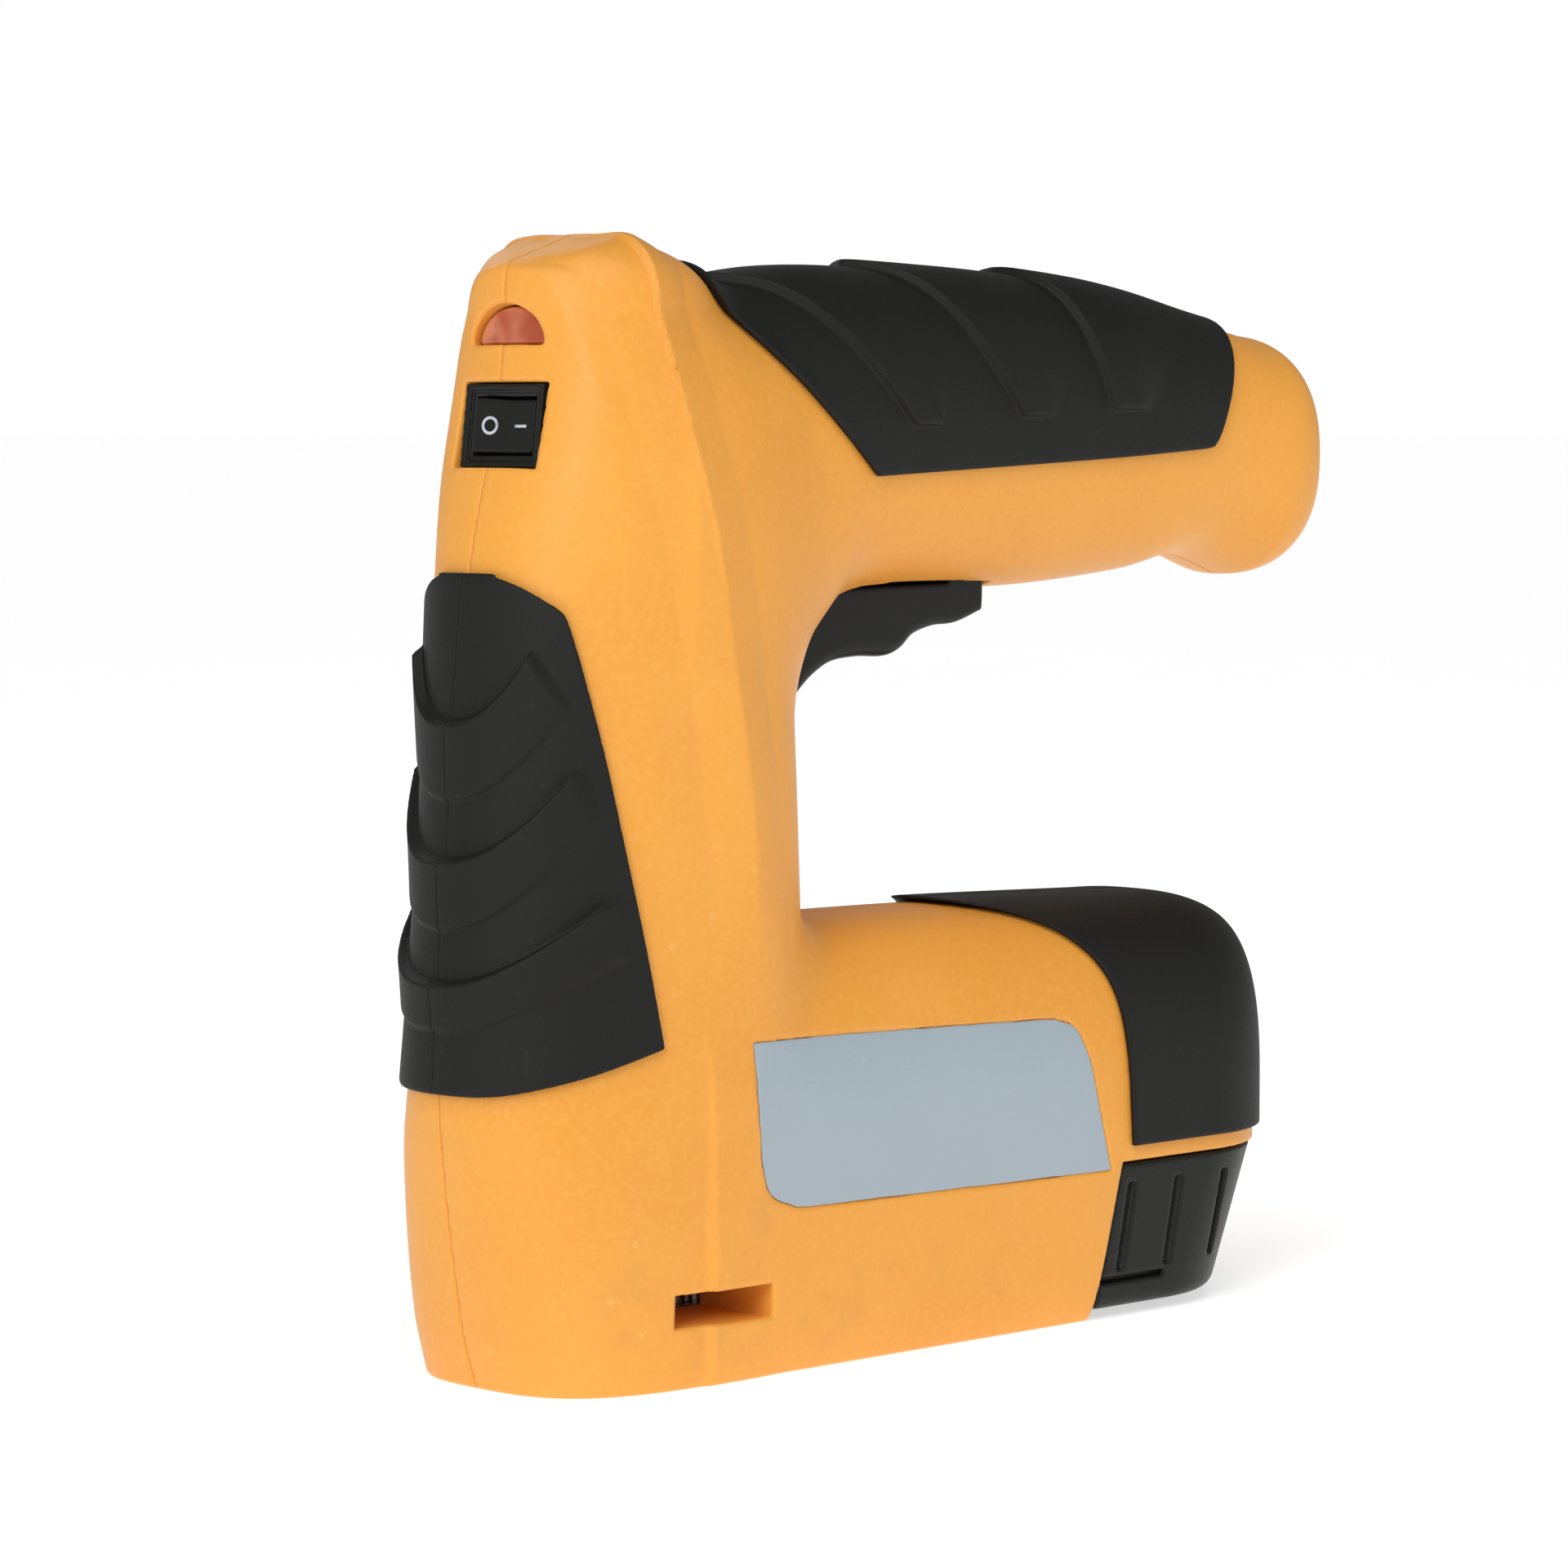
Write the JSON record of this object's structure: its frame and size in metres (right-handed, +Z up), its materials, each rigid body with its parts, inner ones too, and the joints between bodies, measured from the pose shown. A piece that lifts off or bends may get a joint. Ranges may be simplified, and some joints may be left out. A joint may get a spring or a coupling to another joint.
{
  "type": "cordless staple gun",
  "caption": "Battery staple gun: upright striking column, drooping grip handle, hand gap, low magazine body with pull-out latch, trigger, rocker switch and motor-driven hammer inside.",
  "frame": {"origin": "on the work face (the flat underside), in the middle of the lower edge of the nose plate, just ahead of the staple exit", "axes": "+X from the nose to the back of the tool, +Y to its right-hand side, +Z up away from the work"},
  "size_m": [0.1918, 0.0514, 0.1753],
  "materials": {
    "yellow_shell": "satin moulded ABS with a fine grain",
    "grip_rubber": "matt soft-touch elastomer",
    "black_plastic": "satin black nylon",
    "label_grey": "printed film, plain",
    "red_lens": "translucent orange-red moulding",
    "circuit_board": "glass-epoxy board",
    "plated_steel": "zinc-plated steel",
    "spring_steel": "drawn spring wire",
    "dark_steel": "blackened steel",
    "staple_wire": "galvanised staple wire",
    "white_nylon": "moulded acetal",
    "brass": "turned brass",
    "cell_wrap": "shrink-wrapped cell",
    "red_plastic": "moulded plastic"
  },
  "bodies": {
    "housing": {"housing_left": "yellow_shell", "housing_right": "yellow_shell", "front_grip_left": "grip_rubber", "front_grip_right": "grip_rubber", "handle_grip_left": "grip_rubber", "handle_grip_right": "grip_rubber", "rear_bumper_left": "grip_rubber", "rear_bumper_right": "grip_rubber", "label_left": "label_grey", "label_right": "label_grey", "rocker_frame": "black_plastic", "indicator_lens": "red_lens", "indicator_led": "red_lens", "led_board": "circuit_board", "charge_socket": "black_plastic", "charge_board": "circuit_board", "battery_contact_front": "plated_steel", "battery_contact_rear": "plated_steel", "trigger_pin": "plated_steel", "trigger_spring": "spring_steel", "trigger_spring_bar": "black_plastic", "micro_switch": "black_plastic", "lifter_shaft": "plated_steel", "middle_shaft": "plated_steel", "motor_can": "plated_steel", "motor_end_cap": "black_plastic", "gear_plate_front": "plated_steel", "gear_plate_rear": "plated_steel", "main_spring": "spring_steel", "spring_seat": "plated_steel", "hammer_buffer": "grip_rubber", "guide_rod": "plated_steel", "nose_plate": "plated_steel", "magazine_channel": "plated_steel", "battery_cell_1": "cell_wrap", "battery_cell_2": "cell_wrap", "battery_cell_3": "cell_wrap", "battery_cell_4": "cell_wrap", "screw_1": "dark_steel", "screw_2": "dark_steel", "screw_3": "dark_steel", "screw_4": "dark_steel", "screw_5": "dark_steel", "screw_6": "dark_steel"},
    "trigger": {"trigger": "black_plastic"},
    "switch_plunger": {"switch_plunger": "red_plastic"},
    "rocker": {"rocker_button": "black_plastic"},
    "magazine": {"magazine_latch": "black_plastic", "magazine_rail": "plated_steel", "pusher_rod": "plated_steel", "staple_strip": "staple_wire", "pusher_spring": "spring_steel"},
    "pusher": {"staple_pusher": "black_plastic"},
    "lifter": {"lifter_gear": "white_nylon"},
    "middle": {"middle_gear": "white_nylon"},
    "pinion": {"motor_pinion": "brass"},
    "hammer": {"hammer": "dark_steel", "driver_blade": "plated_steel"}
  },
  "joints": [
    {"name": "trigger_pull", "type": "hinge", "parent": "housing", "child": "trigger", "pos_m": [0.09625, 0, 0.125], "axis": [0, 1, 0], "range_deg": [0, 5], "stiffness_Nm_per_rad": 1.5, "springref_deg": -2.86, "deforming": ["trigger_spring"]},
    {"name": "plunger_press", "type": "slide", "parent": "housing", "child": "switch_plunger", "axis": [0, 0, 1], "range_m": [0, 0.0016]},
    {"name": "rocker_tip", "type": "hinge", "parent": "housing", "child": "rocker", "pos_m": [0.0059, 0, 0.14531], "axis": [0.1149, 0, 0.9934], "range_deg": [-20, 0]},
    {"name": "magazine_slide", "type": "slide", "parent": "housing", "child": "magazine", "axis": [1, 0, 0], "range_m": [0, 0.085]},
    {"name": "pusher_slide", "type": "slide", "parent": "magazine", "child": "pusher", "axis": [1, 0, 0], "range_m": [0, 0.026], "stiffness_N_per_m": 120, "springref_m": -0.03, "deforming": ["pusher_spring"]},
    {"name": "lifter_turn", "type": "hinge", "parent": "housing", "child": "lifter", "pos_m": [0.03575, 0, 0.05], "axis": [1, 0, 0], "range_deg": [0, 93.8]},
    {"name": "hammer_lift", "type": "slide", "parent": "housing", "child": "hammer", "axis": [0, 0, 1], "range_m": [0, 0.018], "stiffness_N_per_m": 600, "springref_m": -0.02, "deforming": ["main_spring"]},
    {"name": "middle_turn", "type": "hinge", "parent": "housing", "child": "middle", "pos_m": [0.04075, -0.008, 0.035], "axis": [1, 0, 0], "range_deg": [-225.1, 0]},
    {"name": "pinion_turn", "type": "hinge", "parent": "housing", "child": "pinion", "pos_m": [0.05075, 0, 0.04394], "axis": [1, 0, 0], "range_deg": [0, 675.2]}
  ],
  "couplings": [
    {"joint": "plunger_press", "follows": "trigger_pull", "m_per_rad": 0.018},
    {"joint": "lifter_turn", "follows": "hammer_lift", "rad_per_m": 90.909},
    {"joint": "middle_turn", "follows": "hammer_lift", "rad_per_m": -218.18},
    {"joint": "pinion_turn", "follows": "hammer_lift", "rad_per_m": 654.55}
  ]
}
